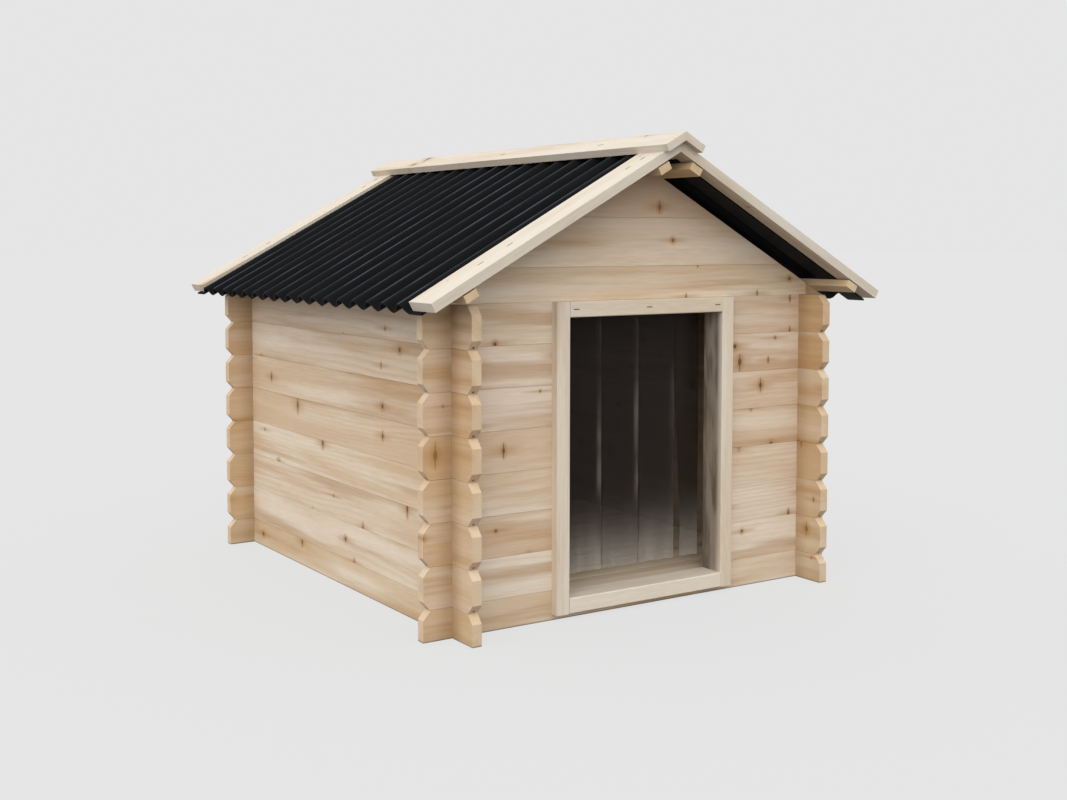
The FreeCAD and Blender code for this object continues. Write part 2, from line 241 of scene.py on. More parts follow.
class PineFigure:
    """The figure of pine: rings, streaks, fibres and knots, shared by all the wood.

    Each noise counts its clouds to the metre along the grain, across the face and through the board. Each
    swing of the rings is a noise and how far it carries them.
    """

    KNOT_CELL = (0.20, 0.066)
    KNOT_RADIUS = (0.0018, 0.0058)
    SPIKE_WIDTH = (0.0004, 0.0016)
    TRAIL_LENGTH = (0.004, 0.055)
    RING_PITCH = (0.009, 0.024)
    END_RING_PITCH = 0.0035
    TIMBER_SHIFT = (7.0, 5.0, 3.0)
    STREAK_NOISE = (1.3, 22.0, 22.0)
    BRIGHT_NOISE = (1.1, 14.0, 14.0)
    FIBRE_NOISE = (28.0, 620.0, 620.0)
    CLOUD_NOISE = (2.8, 24.0, 24.0)
    RING_NOISE = (1.3, 11.0, 11.0)
    RING_SWINGS = (((0.9, 4.0, 4.0), 0.11), ((4.5, 20.0, 20.0), 0.014))
    BLUSH_SHARE = 0.50
    BRIGHT_SHARE = 0.55
    STREAK_SHARE = 0.58
    TRAIL_SHARE = 0.45
    HALO_SHARE = 0.55
    KNOT_SHARE = 0.88
    END_SHARE = 0.45

    _tree: bpy.types.NodeTree | None = None

    @classmethod
    def tree(cls) -> bpy.types.NodeTree:
        """Gives the node group, built the first time."""
        if cls._tree is None:
            cls._tree = cls._build()
        return cls._tree

    @staticmethod
    def _empty() -> bpy.types.NodeTree:
        """Starts the group with its sockets."""
        tree = bpy.data.node_groups.new("pine_figure", "ShaderNodeTree")
        inputs = {"Point": "Vector", "Board": "Vector", "End Face": "Float",
                  "Pale": "Color", "Mid": "Color", "Blush": "Color", "Deep": "Color", "Knot": "Color",
                  "Knot Share": "Float", "Figure": "Float"}
        outputs = {"Color": "Color", "Roughness": "Float", "Height": "Float"}
        for side, sockets in (("INPUT", inputs), ("OUTPUT", outputs)):
            for name, kind in sockets.items():
                tree.interface.new_socket(name, in_out=side, socket_type="NodeSocket" + kind)
        return tree

    @classmethod
    def _build(cls) -> bpy.types.NodeTree:
        """Builds the node group.

        Returns:
            A group that puts out the wood's colour, roughness and height.
        """
        tree = cls._empty()
        graph = Graph(tree)
        given = graph.add("NodeGroupInput").outputs
        draw = graph.add("TexWhiteNoise", {"Vector": given["Board"]}, noise_dimensions="3D")
        chance = draw.outputs["Color"]
        first, second, third = graph.split(chance)
        point = graph.vector("ADD", given["Point"], graph.vector("MULTIPLY", chance, cls.TIMBER_SHIFT))
        knot, halo, trail, pull = cls._knots(graph, point, given["Knot Share"])
        late = cls._rings(graph, point, pull, graph.fade(third, 0.0, 1.0, *cls.RING_PITCH))
        streak = graph.fade(graph.noise(point, cls.STREAK_NOISE, 4.0), 0.50, 0.70)
        bright = graph.fade(graph.noise(point, cls.BRIGHT_NOISE, 3.0), 0.50, 0.66)
        fibre = graph.noise(point, cls.FIBRE_NOISE, 2.0)
        cloud = graph.noise(point, cls.CLOUD_NOISE, 3.0)

        tone = graph.math("MULTIPLY_ADD", first, 0.6, graph.math("MULTIPLY_ADD", cloud, 1.4, -0.5))
        base = graph.mix(graph.fade(tone, 0.1, 0.9), given["Pale"], given["Mid"])
        base = graph.mix(graph.product(second, cls.BLUSH_SHARE), base, given["Blush"])
        base = graph.mix(graph.product(bright, cls.BRIGHT_SHARE), base, given["Pale"])
        grain = graph.product(late, graph.math("MULTIPLY_ADD", second, 0.16, 0.07), given["Figure"])
        base = graph.mix(grain, base, given["Deep"])
        base = graph.mix(graph.product(streak, given["Figure"], cls.STREAK_SHARE), base, given["Deep"])
        value = graph.fade(fibre, 0.3, 0.7, 0.94, 1.03)
        base = graph.mix(1.0, base, graph.join(value, value, value), "MULTIPLY")
        base = graph.mix(graph.product(trail, cls.TRAIL_SHARE), base, given["Deep"])
        base = graph.mix(graph.product(halo, cls.HALO_SHARE), base, given["Deep"])
        base = graph.mix(graph.product(knot, cls.KNOT_SHARE), base, given["Knot"])

        end_shade_tone = graph.math("MULTIPLY_ADD", cls._end_rings(graph, point), 0.30, 0.05)
        end_colour = graph.mix(end_shade_tone, given["Pale"], given["Mid"])
        base = graph.mix(graph.product(given["End Face"], cls.END_SHARE), base, end_colour)
        rough = graph.math("MULTIPLY_ADD", fibre, 0.16, 0.50)
        height = graph.math("ADD", graph.product(late, 0.45), graph.product(fibre, 0.6))
        height = graph.math("SUBTRACT", height, graph.product(knot, 0.3))
        graph.add("NodeGroupOutput", {"Color": base, "Roughness": rough, "Height": height})
        return tree

    @classmethod
    def _knots(cls, graph: Graph, point: bpy.types.NodeSocket,
               share: bpy.types.NodeSocket) -> tuple[bpy.types.NodeSocket, ...]:
        """Strews knots, some of them sawn lengthways into upright spikes.

        Args:
            graph: The writer of the group's nodes.
            point: The point in board space, moved to the board's own stretch of timber.
            share: How many of the places for a knot hold one.

        Returns:
            Masks of the knot, of the stained wood round it and of the streak that trails from it along the
            grain, and how far it pushes the rings aside.
        """
        along, across = cls.KNOT_CELL
        cell = graph.vector("MULTIPLY", point, (1 / along, 1 / across, 0.0))
        places = graph.add("TexVoronoi", {"Vector": cell, "Scale": 1.0, "Randomness": 0.85},
                           voronoi_dimensions="2D").outputs
        size, shape, luck = graph.split(places["Color"])
        step = graph.vector("SUBTRACT", cell, places["Position"])
        away_along, away_across, _ = graph.split(graph.vector("MULTIPLY", step, (along, across, 0.0)))
        radius = graph.fade(size, 0.0, 1.0, *cls.KNOT_RADIUS)
        tall = graph.fade(shape, 0.35, 0.95, 1.0, 2.1)
        flat_share = graph.math("DIVIDE", away_along, radius)
        tall_share = graph.math("DIVIDE", away_across, graph.product(radius, tall))
        distance = graph.length(flat_share, tall_share)
        there = graph.math("LESS_THAN", luck, share)
        side, end = graph.math("ABSOLUTE", away_along), graph.math("ABSOLUTE", tall_share)
        core = graph.fade(distance, 0.55, 1.15, 1.0, 0.0)
        spike = graph.product(graph.fade(side, *cls.SPIKE_WIDTH, 1.0, 0.0),
                              graph.fade(end, 1.4, 2.6, 1.0, 0.0), graph.fade(shape, 0.45, 0.55))
        knot = graph.product(graph.math("MAXIMUM", core, spike), there)
        halo = graph.product(graph.fade(distance, 0.9, 3.2, 1.0, 0.0), there)
        trail = graph.product(graph.fade(side, *cls.TRAIL_LENGTH, 1.0, 0.0),
                              graph.fade(end, 0.3, 2.2, 1.0, 0.0), there)
        return knot, halo, trail, graph.product(halo, away_across, 0.8)

    @classmethod
    def _rings(cls, graph: Graph, point: bpy.types.NodeSocket, pull: bpy.types.NodeSocket,
               pitch: bpy.types.NodeSocket) -> bpy.types.NodeSocket:
        """Draws the growth rings as they show on a sawn face.

        Args:
            graph: The writer of the group's nodes.
            point: The point in board space.
            pull: How far knots push the rings aside.
            pitch: The width of one year's ring on this board.

        Returns:
            A mask of the dark late wood, which comes and goes along the board.
        """
        _, across, depth = graph.split(point)
        place = graph.math("ADD", across, depth)
        for noise, width in cls.RING_SWINGS:
            swing = graph.math("MULTIPLY_ADD", graph.noise(point, noise, 1.0), width, -width / 2)
            place = graph.math("ADD", place, swing)
        part = graph.math("FRACT", graph.math("DIVIDE", graph.math("SUBTRACT", place, pull), pitch))
        line = graph.product(graph.fade(part, 0.25, 0.84), graph.fade(part, 0.86, 1.0, 1.0, 0.0))
        shown = graph.fade(graph.noise(point, cls.RING_NOISE, 2.0), 0.36, 0.66, 0.1, 1.0)
        return graph.product(line, shown)

    @classmethod
    def _end_rings(cls, graph: Graph, point: bpy.types.NodeSocket) -> bpy.types.NodeSocket:
        """Draws the rings as arcs on a sawn end."""
        _, across, depth = graph.split(point)
        turns = graph.math("DIVIDE", graph.length(across, depth), cls.END_RING_PITCH)
        return graph.fade(graph.math("FRACT", turns), 0.3, 0.9)


@dataclass(frozen=True)
class PineFinish:
    """Raw pine of one kind of board."""

    name: str
    pale: str
    mid: str
    blush: str
    deep: str
    knot: str
    knot_share: float
    figure: float
    bump: float = 0.5
    relief: float = 0.0004
    sheen: float = 0.3

    def material(self, name: str, grain: Grain, cell: BoardCell, pitch: float) -> bpy.types.Material:
        """Makes this finish for boards that run one way.

        Args:
            name: What tells these boards from others of the same finish.
            grain: The way that the grain runs.
            cell: The room that one board takes.
            pitch: The roof's slope, in radians.

        Returns:
            The new material.
        """
        material, graph, shader = new_material(self.name + "_" + name)
        turn = grain.turn(pitch)
        where = graph.add("TexCoord").outputs
        point = graph.add("Mapping", {"Vector": where["Object"], "Rotation": turn.to_euler()})
        boards = graph.add("Mapping", {"Vector": where["Object"], "Scale": cell.scale(),
                                       "Location": cell.shift()})
        facing = graph.add("VectorMath", {0: where["Normal"], 1: turn[0]}, operation="DOT_PRODUCT")
        end_face = graph.fade(graph.math("ABSOLUTE", facing.outputs["Value"]), 0.3, 0.55)
        figure = graph.add("Group", {
            "Point": point.outputs[0], "Board": graph.vector("FLOOR", boards.outputs[0]),
            "End Face": end_face,
            "Pale": paint(self.pale), "Mid": paint(self.mid), "Blush": paint(self.blush),
            "Deep": paint(self.deep), "Knot": paint(self.knot),
            "Knot Share": self.knot_share, "Figure": self.figure,
        }, node_tree=PineFigure.tree()).outputs
        bump = graph.add("Bump", {"Height": figure["Height"], "Strength": self.bump,
                                  "Distance": self.relief})
        graph.feed(shader.inputs["Base Color"], figure["Color"])
        graph.feed(shader.inputs["Roughness"], figure["Roughness"])
        graph.feed(shader.inputs["Normal"], bump.outputs[0])
        shader.inputs["Specular IOR Level"].default_value = self.sheen
        return material


WALL_PINE = PineFinish(
    "wall_pine", pale="E8DCC9", mid="D0B490", blush="D8C0A9", deep="AC7F4B", knot="63442A",
    knot_share=0.32, figure=0.95)
FRONT_PINE = PineFinish(
    "front_pine", pale="E6D9C7", mid="CFB290", blush="D8BFAA", deep="AC7F4B", knot="5E432D",
    knot_share=0.85, figure=0.95)
PLANED_PINE = PineFinish(
    "planed_pine", pale="E4DACB", mid="D6C5AD", blush="D9C8B5", deep="B08E66", knot="7A5636",
    knot_share=0.02, figure=0.6)
ROOF_PINE = PineFinish(
    "roof_pine", pale="D4CBBD", mid="C7B79E", blush="CEC1AF", deep="A98963", knot="6E4D31",
    knot_share=0.12, figure=0.8)
# Roof battens: warmer and darker than the other roof trim, partly to paint the shade under the roof
# sheets.
BATTEN_PINE = PineFinish(
    "batten_pine", pale="D9C4A3", mid="BE9E74", blush="C9AC88", deep="9C7447", knot="6B4A2D",
    knot_share=0.10, figure=0.9)
FLOOR_PINE = PineFinish(
    "floor_pine", pale="E2D3BD", mid="CFB896", blush="D2BBA2", deep="A17A50", knot="5E4229",
    knot_share=0.22, figure=0.9)


def lay_over(material: bpy.types.Material, graph: Graph, share: Any, colour: str) -> None:
    """Lays a tone over a finish's colour.

    Args:
        material: The finish.
        graph: The writer of its nodes.
        share: How much of the tone shows.
        colour: The tone.
    """
    base = material.node_tree.nodes["Principled BSDF"].inputs["Base Color"]
    graph.feed(base, graph.mix(share, base.links[0].from_socket, paint(colour)))


@dataclass(frozen=True)
class PaintedShade:
    """A painted shade that a finish takes on over part of the house, alike on both sides of it.

    Each range is an axis, the distance from the middle at which the tone is full, and the one at which it
    ends.
    """

    colour: str
    share: float
    ranges: tuple[tuple[int, float, float], ...]
    patches: float = 0.0
    patch_noise: tuple[float, float, float] = (45.0, 45.0, 9.0)

    def apply(self, material: bpy.types.Material) -> bpy.types.Material:
        """Lays the tone over a finish.

        Args:
            material: The finish.

        Returns:
            The same material.
        """
        graph = Graph(material.node_tree)
        where = graph.add("TexCoord").outputs["Object"]
        parts = graph.split(where)
        mask = self.share
        if self.patches:
            cloud = graph.noise(where, self.patch_noise, 4.0)
            mask = graph.fade(cloud, 0.38, 0.62, self.share * (1.0 - self.patches), self.share)
        for axis, full, none in self.ranges:
            distance = graph.math("ABSOLUTE", parts[axis])
            near, far = sorted((full, none))
            inside = graph.fade(distance, near, far, float(full < none), float(full > none))
            mask = graph.product(inside, mask)
        lay_over(material, graph, mask, self.colour)
        return material


@dataclass(frozen=True)
class JointDust:
    """The dark line of dust and shade in the joints between boards that lie on each other."""

    first: float
    course: float
    colour: str = "6B4E33"
    share: float = 0.17
    line: float = 0.0012

    def apply(self, material: bpy.types.Material) -> None:
        """Draws the joints on a finish."""
        graph = Graph(material.node_tree)
        _, _, height = graph.split(graph.add("TexCoord").outputs["Object"])
        courses = graph.math("DIVIDE", graph.math("SUBTRACT", height, self.first), self.course)
        away = graph.product(graph.math("PINGPONG", courses, 0.5), self.course)
        lay_over(material, graph, graph.fade(away, self.line / 4, self.line, self.share, 0.0), self.colour)


@dataclass(frozen=True)
class BitumenFinish:
    """Black corrugated sheet of bitumen and fibre: matt, with a fine pressed grain and a painted highlight
    along the crests.
    """

    name: str = "bitumen_sheet"
    dark: str = "060709"
    light: str = "0B0D11"
    # Colour of the painted highlight along the crests of the corrugations.
    crest_highlight: str = "474B52"
    crest_highlight_depth: float = 0.0007
    speck_noise: tuple[float, float, float] = (420.0, 420.0, 420.0)
    cloud_noise: tuple[float, float, float] = (9.0, 9.0, 9.0)
    roughness: tuple[float, float] = (0.62, 0.80)
    bump: float = 0.4
    relief: float = 0.0005
    sheen: float = 0.11

    def material(self, pitch: float, crest: float) -> bpy.types.Material:
        """Makes the material.

        Args:
            pitch: The roof's slope, in radians.
            crest: How far the crests lie from the origin, square to the slope.

        Returns:
            The new material.
        """
        material, graph, shader = new_material(self.name)
        where = graph.add("TexCoord").outputs["Object"]
        speck = graph.noise(where, self.speck_noise, 3.0)
        cloud = graph.noise(where, self.cloud_noise, 3.0)
        tone = graph.product(graph.fade(cloud, 0.3, 0.75, 0.35, 1.0), graph.fade(speck, 0.3, 0.75))
        base = graph.mix(tone, paint(self.dark), paint(self.light))
        across, _, up = graph.split(where)
        lift = graph.math("MULTIPLY_ADD", graph.math("ABSOLUTE", across), math.sin(pitch),
                          graph.product(up, math.cos(pitch)))
        # Painted highlight along the crests, broken up by the cloud noise.
        crest_highlight_mask = graph.product(graph.fade(lift, crest - self.crest_highlight_depth, crest),
                            graph.fade(cloud, 0.40, 0.65, 0.05, 0.8))
        graph.feed(shader.inputs["Base Color"], graph.mix(crest_highlight_mask, base, paint(self.crest_highlight)))
        graph.feed(shader.inputs["Roughness"], graph.fade(cloud, 0.3, 0.7, *self.roughness))
        bump = graph.add("Bump", {"Height": speck, "Strength": self.bump, "Distance": self.relief})
        graph.feed(shader.inputs["Normal"], bump.outputs[0])
        shader.inputs["Specular IOR Level"].default_value = self.sheen
        return material


@dataclass(frozen=True)
class ClearVinylFinish:
    """Flexible see-through sheet: glossy and smoky, its dark smoke also painting the shade inside, milky
    towards its foot, with a painted reflection along one cut edge.

    Pairs are the shares of a strip's width or height between which a mark comes or goes.
    """

    name: str = "clear_vinyl"
    # Smoky tint; its darkness also paints the shade of the inside seen through the strips.
    smoke_and_shade: str = "211B18"
    milk: str = "BDB4A9"
    # Colour of the painted reflection along one cut edge of each strip.
    edge_reflection: str = "8F8882"
    clear: float = 0.60
    hazy: float = 0.32
    haze_height: tuple[float, float] = (-0.1, 0.46)
    haze_falloff: float = 3.0
    scuff_noise: tuple[float, float, float] = (30.0, 30.0, 4.0)
    # The painted reflection along one cut edge: its extra alpha, its share of colour, and where it lies
    # across and up the strip.
    edge: float = 0.08
    edge_reflection_share: float = 0.5
    edge_width: tuple[float, float] = (0.84, 0.95)
    edge_foot: tuple[float, float] = (0.2, 0.4)
    edge_top: tuple[float, float] = (0.55, 0.85)
    edge_noise: tuple[float, float, float] = (16.0, 16.0, 7.0)
    light_stopped: float = 0.12
    gloss: float = 0.12
    roughness: float = 0.16
    scuffed_roughness: float = 0.14

    def strip_material(self, length: float, edges: tuple[float, float]) -> bpy.types.Material:
        """Makes the material of strips whose UV runs from edge to edge and from foot to top.

        Args:
            length: The strips' length.
            edges: Where across the doorway the painted edge reflections begin to fade, and where they are
                gone.

        Returns:
            The new material.
        """
        material, graph, shader = new_material(self.name)
        coordinates = graph.add("TexCoord").outputs
        across, _, _ = graph.split(coordinates["Object"])
        share, height, _ = graph.split(coordinates["UV"])
        point = graph.join(across, 0.0, graph.product(height, length))
        low = graph.math("POWER", graph.fade(height, *self.haze_height, 1.0, 0.0), self.haze_falloff)
        scuff = graph.fade(graph.noise(point, self.scuff_noise, 3.0), 0.35, 0.75)
        haze = graph.product(low, graph.math("MULTIPLY_ADD", scuff, 0.4, 0.6))
        # Painted reflection along one cut edge: strongest at mid height, broken up, fading across the
        # doorway.
        middle = graph.product(graph.fade(height, *self.edge_foot),
                               graph.fade(height, *self.edge_top, 1.0, 0.2))
        broken = graph.fade(graph.noise(point, self.edge_noise, 2.0), 0.38, 0.62, 0.25, 1.0)
        faded_reflection = graph.product(broken, graph.fade(across, *edges, 1.0, 0.0))
        edge_reflection_mask = graph.product(graph.fade(share, *self.edge_width), middle, faded_reflection)
        alpha = graph.math("MULTIPLY_ADD", haze, self.hazy - self.clear, self.clear)
        self._let_light_in(graph, shader, graph.math("MULTIPLY_ADD", edge_reflection_mask, self.edge, alpha))
        # Smoky base colour, milky towards the foot; the dark smoke also paints the shade inside.
        base = graph.mix(haze, paint(self.smoke_and_shade), paint(self.milk))
        # Lays the painted reflection's colour over the strip.
        base = graph.mix(graph.product(edge_reflection_mask, self.edge_reflection_share), base, paint(self.edge_reflection))
        rough = graph.math("MULTIPLY_ADD", scuff, self.scuffed_roughness, self.roughness)
        graph.feed(shader.inputs["Base Color"], base)
        graph.feed(shader.inputs["Roughness"], rough)
        return material

    def header_material(self) -> bpy.types.Material:
        """Makes the material of the uncut top, which stays clear all over."""
        material, graph, shader = new_material(self.name + "_header")
        self._let_light_in(graph, shader, self.clear)
        shader.inputs["Base Color"].default_value = paint(self.smoke_and_shade)
        shader.inputs["Roughness"].default_value = self.roughness
        return material

    def _let_light_in(self, graph: Graph, shader: bpy.types.Node, alpha: Any) -> None:
        """Sets how much of the sheet is seen, and lets most light through it.

        Args:
            graph: The writer of the material's nodes.
            shader: Its Principled shader.
            alpha: How much of the sheet is seen.
        """
        ray = graph.add("LightPath").outputs
        light = graph.math("MAXIMUM", ray["Is Shadow Ray"], ray["Is Diffuse Ray"])
        stopped = graph.math("MULTIPLY_ADD", light, self.light_stopped - 1.0, 1.0)
        graph.feed(shader.inputs["Alpha"], graph.product(stopped, alpha))
        shader.inputs["Specular IOR Level"].default_value = self.gloss


@dataclass(frozen=True)
class SteelFinish:
    """Bare steel of a fastener, dulled in patches."""

    name: str
    bright: str
    dull: str
    patch_noise: tuple[float, float, float] = (900.0, 900.0, 900.0)

    def material(self) -> bpy.types.Material:
        """Makes the material."""
        material, graph, shader = new_material(self.name)
        where = graph.add("TexCoord").outputs["Object"]
        patch = graph.fade(graph.noise(where, self.patch_noise, 2.0), 0.35, 0.65)
        graph.feed(shader.inputs["Base Color"], graph.mix(patch, paint(self.bright), paint(self.dull)))
        graph.feed(shader.inputs["Roughness"], graph.math("MULTIPLY_ADD", patch, 0.25, 0.35))
        shader.inputs["Metallic"].default_value = 1.0
        return material


NAIL_STEEL = SteelFinish("nail_steel", bright="B9B6AE", dull="7C756A")
STAPLE_WIRE = SteelFinish("staple_wire", bright="877C6F", dull="564B40")


def dress(names: Iterable[str], material: bpy.types.Material) -> None:
    """Gives CAD nodes their finish.

    Args:
        names: The nodes.
        material: The finish.
    """
    for name in names:
        slots = frame["nodes"][name].data.materials
        slots.clear()
        slots.append(material)
        LOG.info("%s is dressed in %s", name, material.name)


def nodes_like(*parts: str) -> list[str]:
    """Gives the names of the CAD nodes that hold any of these words."""
    return [name for name in frame["nodes"] if any(part in name for part in parts)]


def roof_pitch() -> float:
    """Reads the roof's slope, in radians, from the widest face of a ridge plank."""
    faces = [face for face in frame["nodes"]["right_ridge_plank"].data.polygons if face.normal.z > 0.5]
    normal = max(faces, key=lambda face: face.area).normal
    return math.atan2(abs(normal.x), normal.z)


def up_to(axis: int, face: float) -> tuple[int, float, float]:
    """Gives the range of a painted shade that ends just past a face.

    Args:
        axis: The axis that the face looks along.
        face: How far the face lies from the middle.

    Returns:
        The axis, and where the painted shade is full and where it ends.
    """
    return axis, face + TONE_EDGE / 4, face + TONE_EDGE


def face_middle(node: str, normal: Vector) -> Vector:
    """Gives the middle of a CAD node's flat face.

    Args:
        node: The node.
        normal: The way that the face points.

    Returns:
        The point half way between the face's lowest and highest corners.
    """
    mesh = frame["nodes"][node].data
    corners = [mesh.vertices[index].co for face in mesh.polygons if face.normal.dot(normal) > 0.999
               for index in face.vertices]
    return Vector([(min(values) + max(values)) / 2 for values in zip(*corners)])


@dataclass
class LogWalls:
    """The four walls of boards that cross at the corners."""

    pitch: float
    # Painted shade, warm as from light bounced off the wood, on the board ends past the corners.
    end_shade_tone: str = "B98C4B"
    end_shade_share: float = 0.34
    # Painted shade in the corners, on the board ends next to the crossing wall.
    corner_shade_tone: str = "7E5A35"
    corner_shade_share: float = 0.36
    corner_width: float = 0.045
    # Painted shade on the walls' inner faces, inside the house.
    inside_shade_tone: str = "3E2E1F"
    inside_shade_share: float = 0.68
    # Painted contact shadow along the lowest few millimetres of the boards.
    foot_shadow_tone: str = "3F362D"
    foot_shadow_share: float = 0.62
    foot_shadow_height: float = 0.0035
    # Painted shade from the roof overhang, growing towards the gables' apex.
    gable_shade_tone: str = "A8743A"
    gable_shade_share: float = 0.50

    def dress(self) -> None:
        """Gives each wall boards with their own figure and painted shade: at the corners, inside, at the
        foot and high on the gables.
        """
        outer_x, outer_y = -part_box("left_wall_log_2")[0].x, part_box("back_wall_log_2")[1].y
        along_x, along_y = Grain.UPRIGHT_FACE_ALONG_X, Grain.UPRIGHT_FACE_ALONG_Y
        cross_ends, side_ends = (0, outer_x), (1, outer_y)
        walls, gables = self._courses("left_wall_log"), self._courses("front_gable_log")
        apex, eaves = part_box("front_gable_log_3")[1].z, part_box("front_gable_log_1")[0].z
        apart_x, apart_y, apart = (WHOLE_HOUSE, 0.0), (0.0, WHOLE_HOUSE), (WHOLE_HOUSE, WHOLE_HOUSE)
        cross_walls = ("back_wall_log", "front_bottom_log")
        self._dress("cross_walls", cross_walls, along_x, apart_y, walls, cross_ends)
        gable = self._dress("gables", ("gable_log",), along_x, apart_y, gables, cross_ends)
        # Painted shade from the roof overhang, growing towards the gables' apex.
        PaintedShade(self.gable_shade_tone, self.gable_shade_share, ((2, apex, eaves),)).apply(gable)
        self._dress("beside_the_door", ("stub_logs",), along_x, apart, walls, cross_ends, FRONT_PINE)
        self._dress("side_walls", ("left_wall_log", "right_wall_log"), along_y, apart_x, walls, side_ends)

    @staticmethod
    def _courses(board: str) -> JointDust:
        """Reads a wall's joints from its second and third boards."""
        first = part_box(board + "_2")[0].z
        return JointDust(first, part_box(board + "_3")[0].z - first)

    def _dress(self, name: str, boards: tuple[str, ...], grain: Grain, apart: tuple[float, float],
               joints: JointDust, ends: tuple[int, float],
               finish: PineFinish = WALL_PINE) -> bpy.types.Material:
        """Makes a wall's finish, with its joints and painted shade, and gives it to the wall's boards.

        Args:
            name: What tells this wall from the others.
            boards: Words in the boards' names.
            grain: The way that the boards run.
            apart: How far walls that share the finish lie apart, across the house and along it.
            joints: The joints between the courses.
            ends: The axis that the boards run along, and where their ends stand out past the corner.
            finish: The boards' pine.

        Returns:
            The new material.
        """
        cell = BoardCell((*apart, joints.course), (0.0, 0.0, joints.first))
        material = finish.material(name, grain, cell, self.pitch)
        inner_x, inner_y = -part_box("left_wall_log_2")[1].x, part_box("back_wall_log_2")[0].y
        axis, corner = ends
        past = (axis, corner, corner - TONE_EDGE)
        beside = (axis, corner, corner + self.corner_width)
        # Painted shade, warm as from light bounced off the wood, on the board ends that stand out past the
        # corners.
        PaintedShade(self.end_shade_tone, self.end_shade_share, (past,)).apply(material)
        # Painted shade in the corners, on the board ends next to the crossing wall.
        PaintedShade(self.corner_shade_tone, self.corner_shade_share, (past, beside)).apply(material)
        # Painted shade on the walls' inner faces, inside the house.
        PaintedShade(self.inside_shade_tone, self.inside_shade_share, (up_to(0, inner_x), up_to(1, inner_y))).apply(material)
        # Painted contact shadow along the lowest few millimetres of the boards.
        PaintedShade(self.foot_shadow_tone, self.foot_shadow_share, ((2, TONE_EDGE, self.foot_shadow_height),)).apply(material)
        joints.apply(material)
        dress(nodes_like(*boards), material)
        return material


@dataclass
class Roof:
    """Sheets, verge boards, ridge planks, battens and nails."""

    pitch: float

    def dress(self) -> None:
        """Gives each roof piece its finish."""
        ends = BoardCell((WHOLE_HOUSE, WHOLE_HOUSE, 0.0))
        dress(nodes_like("left_verge_board"),
              ROOF_PINE.material("left_verge", Grain.DOWN_LEFT_SLOPE, ends, self.pitch))
        dress(nodes_like("right_verge_board"),
              ROOF_PINE.material("right_verge", Grain.DOWN_RIGHT_SLOPE, ends, self.pitch))
        lengths = BoardCell((PIECE_SPACING, 0.0, 0.0))
        dress(nodes_like("ridge_plank"),
              ROOF_PINE.material("ridge_planks", Grain.LYING_ALONG_Y, lengths, self.pitch))
        dress(nodes_like("ridge_batten", "eave_batten"),
              BATTEN_PINE.material("roof_battens", Grain.LYING_ALONG_Y, lengths, self.pitch))
        sheet = frame["nodes"]["right_roof_sheet"].data.vertices
        out = Vector((math.sin(self.pitch), 0.0, math.cos(self.pitch)))
        crest = max(point.co.dot(out) for point in sheet)
        dress(nodes_like("roof_sheet"), BitumenFinish().material(self.pitch, crest))
        dress(["verge_nails"], NAIL_STEEL.material())


@dataclass
class DoorFrame:
    """Two jambs with a head and a sill between them."""

    pitch: float
    # Painted shade in patches on the back part of the jambs' inner faces.
    reveal_shade: str = "422A18"
    reveal_shade_share: float = 0.84
    reveal_shade_patches: float = 0.28
    reveal_shade_starts: float = 0.002
    reveal_shade_full: float = 0.020

    def dress(self) -> None:
        """Gives the frame its finish, with painted shade in patches on the back of the jambs' inner faces.
        """
        sides = BoardCell((WHOLE_HOUSE, 0.0, 0.0))
        jambs = PLANED_PINE.material("jambs", Grain.STANDING, sides, self.pitch)
        low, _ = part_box("right_door_jamb")
        # Painted shade in patches on the back part of the jambs' inner faces.
        shaded_reveal = (up_to(0, low.x), (1, -low.y - self.reveal_shade_full, -low.y - self.reveal_shade_starts))
        reveal_shade = PaintedShade(self.reveal_shade, self.reveal_shade_share, shaded_reveal, self.reveal_shade_patches)
        dress(nodes_like("door_jamb"), reveal_shade.apply(jambs))
        middle = (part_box("door_head")[0].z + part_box("door_sill")[1].z) / 2
        rails = BoardCell((0.0, 0.0, WHOLE_HOUSE), (0.0, 0.0, middle))
        dress(["door_head", "door_sill"],
              PLANED_PINE.material("rails", Grain.UPRIGHT_FACE_ALONG_X, rails, self.pitch))


@dataclass
class CabinFloor:
    """Floor boards on their bearers."""

    pitch: float
    board_count: int = 10

    def dress(self) -> None:
        """Gives the floor its finish."""
        low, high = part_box("floor_boards")
        boards = BoardCell((0.0, (high.y - low.y) / self.board_count, 0.0), (0.0, low.y, 0.0))
        dress(["floor_boards"], FLOOR_PINE.material("boards", Grain.LYING_ALONG_X, boards, self.pitch))
        bearers = BoardCell((PIECE_SPACING, 0.0, 0.0))
        dress(nodes_like("floor_bearer"),
              FLOOR_PINE.material("bearers", Grain.LYING_ALONG_Y, bearers, self.pitch))


